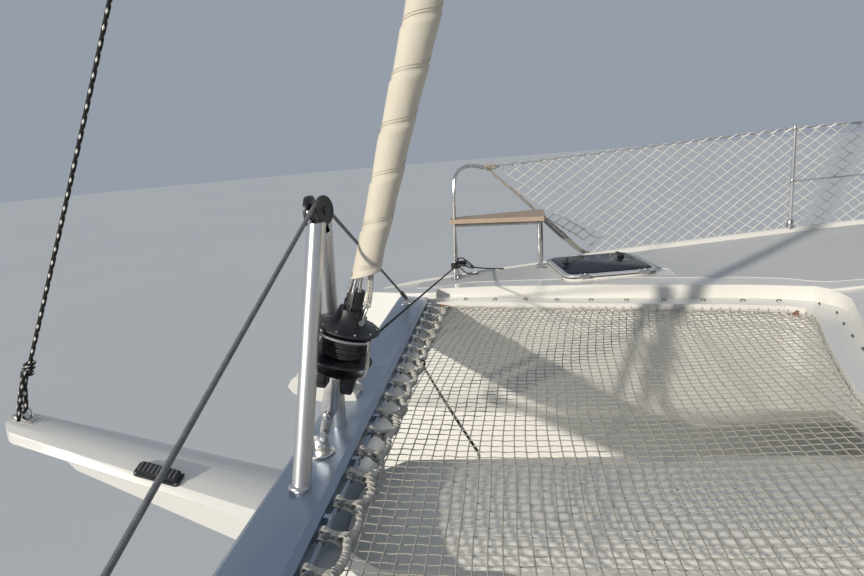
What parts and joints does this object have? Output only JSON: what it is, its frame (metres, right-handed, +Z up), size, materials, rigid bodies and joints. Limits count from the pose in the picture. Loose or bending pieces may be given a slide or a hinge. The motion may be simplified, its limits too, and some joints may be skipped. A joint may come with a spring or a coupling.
{
  "type": "sailing catamaran",
  "caption": "Cruising sailing catamaran afloat: twin hulls, bridge deck saloon, crossbeam with striker frame, bowsprit, trampoline net, furled headsail and bagged mainsail.",
  "frame": {"origin": "amidships on the centreline, at the waterline", "axes": "+X forward, +Y to port, +Z up"},
  "size_m": [12.14, 6.496, 18.16],
  "materials": {
    "gelcoat": "glossy moulded gelcoat",
    "anodised_beam": "satin anodised",
    "satin_tube": "satin anodised",
    "stainless": "polished stainless steel",
    "black_plastic": "black moulded plastic",
    "netting": "knotted cord",
    "seat_board": "pale board",
    "dark_acrylic": "smoked acrylic",
    "nonskid": "textured deck paint",
    "cushion": "woven cover",
    "sailcloth": "cream cover cloth",
    "galvanised": "grey",
    "bronze": "polished",
    "engine_paint": "satin"
  },
  "bodies": {
    "platform": {"hull_port": "gelcoat", "hull_starboard": "gelcoat", "bridge_deck": "gelcoat", "keel_port": "gelcoat", "keel_starboard": "gelcoat", "bowsprit": "gelcoat", "bow_roller": "gelcoat", "saloon_walls": "gelcoat", "saloon_roof": "gelcoat", "hardtop": "gelcoat", "helm_console": "gelcoat", "cockpit_bench": "gelcoat", "crossbeam": "anodised_beam", "striker_frame": "satin_tube", "mast": "satin_tube", "spreaders": "satin_tube", "striker_stay_port": "stainless", "striker_stay_starboard": "stainless", "pulpit_port": "stainless", "pulpit_starboard": "stainless", "lifelines_port": "stainless", "lifelines_starboard": "stainless", "shrouds_port": "stainless", "shrouds_starboard": "stainless", "furler_links": "stainless", "forestay_head": "stainless", "striker_cap": "black_plastic", "sprit_block": "black_plastic", "trampoline": "netting", "lifeline_net_port": "netting", "lifeline_net_starboard": "netting", "pulpit_seat_port": "seat_board", "pulpit_seat_starboard": "seat_board", "saloon_table": "seat_board", "cockpit_table": "seat_board", "saloon_glazing": "dark_acrylic", "saloon_settee": "cushion", "helm_seat": "cushion", "anchor": "galvanised", "saildrive_port": "galvanised", "saildrive_starboard": "galvanised", "engine_port": "engine_paint", "engine_starboard": "engine_paint"},
    "headsail": {"furler_drum": "black_plastic", "furled_headsail": "sailcloth"},
    "boom_and_bag": {"boom": "satin_tube", "mainsail_bag": "sailcloth"},
    "wheel": {"helm_wheel": "stainless"},
    "rudder_left": {"rudder_port": "gelcoat"},
    "rudder_right": {"rudder_starboard": "gelcoat"},
    "propeller_left": {"propeller_port": "bronze"},
    "propeller_right": {"propeller_starboard": "bronze"},
    "bow_lid_left": {"bow_hatch_port": "dark_acrylic"},
    "bow_lid_right": {"bow_hatch_starboard": "dark_acrylic"},
    "engine_lid_left": {"engine_hatch_port": "nonskid"},
    "engine_lid_right": {"engine_hatch_starboard": "nonskid"},
    "door": {"saloon_door": "dark_acrylic"}
  },
  "joints": [
    {"name": "headsail_furling", "type": "hinge", "parent": "platform", "child": "headsail", "pos_m": [5.35, 0, 1.424], "axis": [-0.3134, 0, 0.9496], "continuous": true},
    {"name": "boom_swing", "type": "hinge", "parent": "platform", "child": "boom_and_bag", "pos_m": [0.738, 0, 3.72], "axis": [0, 0, 1], "range_deg": [-70, 70]},
    {"name": "wheel_turn", "type": "hinge", "parent": "platform", "child": "wheel", "pos_m": [-2.76, -1.85, 2.18], "axis": [-1, 0, 0], "range_deg": [-270, 270]},
    {"name": "rudder_port_turn", "type": "hinge", "parent": "platform", "child": "rudder_left", "pos_m": [-4.7, 2.3, 0], "axis": [0, 0, 1], "range_deg": [-33.75, 33.75]},
    {"name": "rudder_starboard_turn", "type": "hinge", "parent": "platform", "child": "rudder_right", "pos_m": [-4.7, -2.3, 0], "axis": [0, 0, 1], "range_deg": [-33.75, 33.75]},
    {"name": "propeller_port_spin", "type": "hinge", "parent": "platform", "child": "propeller_left", "pos_m": [-3.42, 2.3, -0.88], "axis": [1, 0, 0], "continuous": true},
    {"name": "propeller_starboard_spin", "type": "hinge", "parent": "platform", "child": "propeller_right", "pos_m": [-3.42, -2.3, -0.88], "axis": [1, 0, 0], "continuous": true},
    {"name": "bow_hatch_port_lift", "type": "hinge", "parent": "platform", "child": "bow_lid_left", "pos_m": [4.1304, 1.9719, 1.498], "axis": [0.9877, -0.1564, 0], "range_deg": [0, 90]},
    {"name": "bow_hatch_starboard_lift", "type": "hinge", "parent": "platform", "child": "bow_lid_right", "pos_m": [4.1304, -1.9719, 1.498], "axis": [-0.9877, -0.1564, 0], "range_deg": [0, 90]},
    {"name": "engine_hatch_port_lift", "type": "hinge", "parent": "platform", "child": "engine_lid_left", "pos_m": [-3.6, 2.35, 1.5503], "axis": [0, 1, 0], "range_deg": [0, 90]},
    {"name": "engine_hatch_starboard_lift", "type": "hinge", "parent": "platform", "child": "engine_lid_right", "pos_m": [-3.6, -2.35, 1.5503], "axis": [0, 1, 0], "range_deg": [0, 90]},
    {"name": "saloon_door_slide", "type": "slide", "parent": "platform", "child": "door", "axis": [0, 1, 0], "range_m": [0, 0.935]}
  ],
  "couplings": [
    {"joint": "rudder_port_turn", "follows": "wheel_turn", "ratio": 0.125},
    {"joint": "rudder_starboard_turn", "follows": "wheel_turn", "ratio": 0.125}
  ]
}
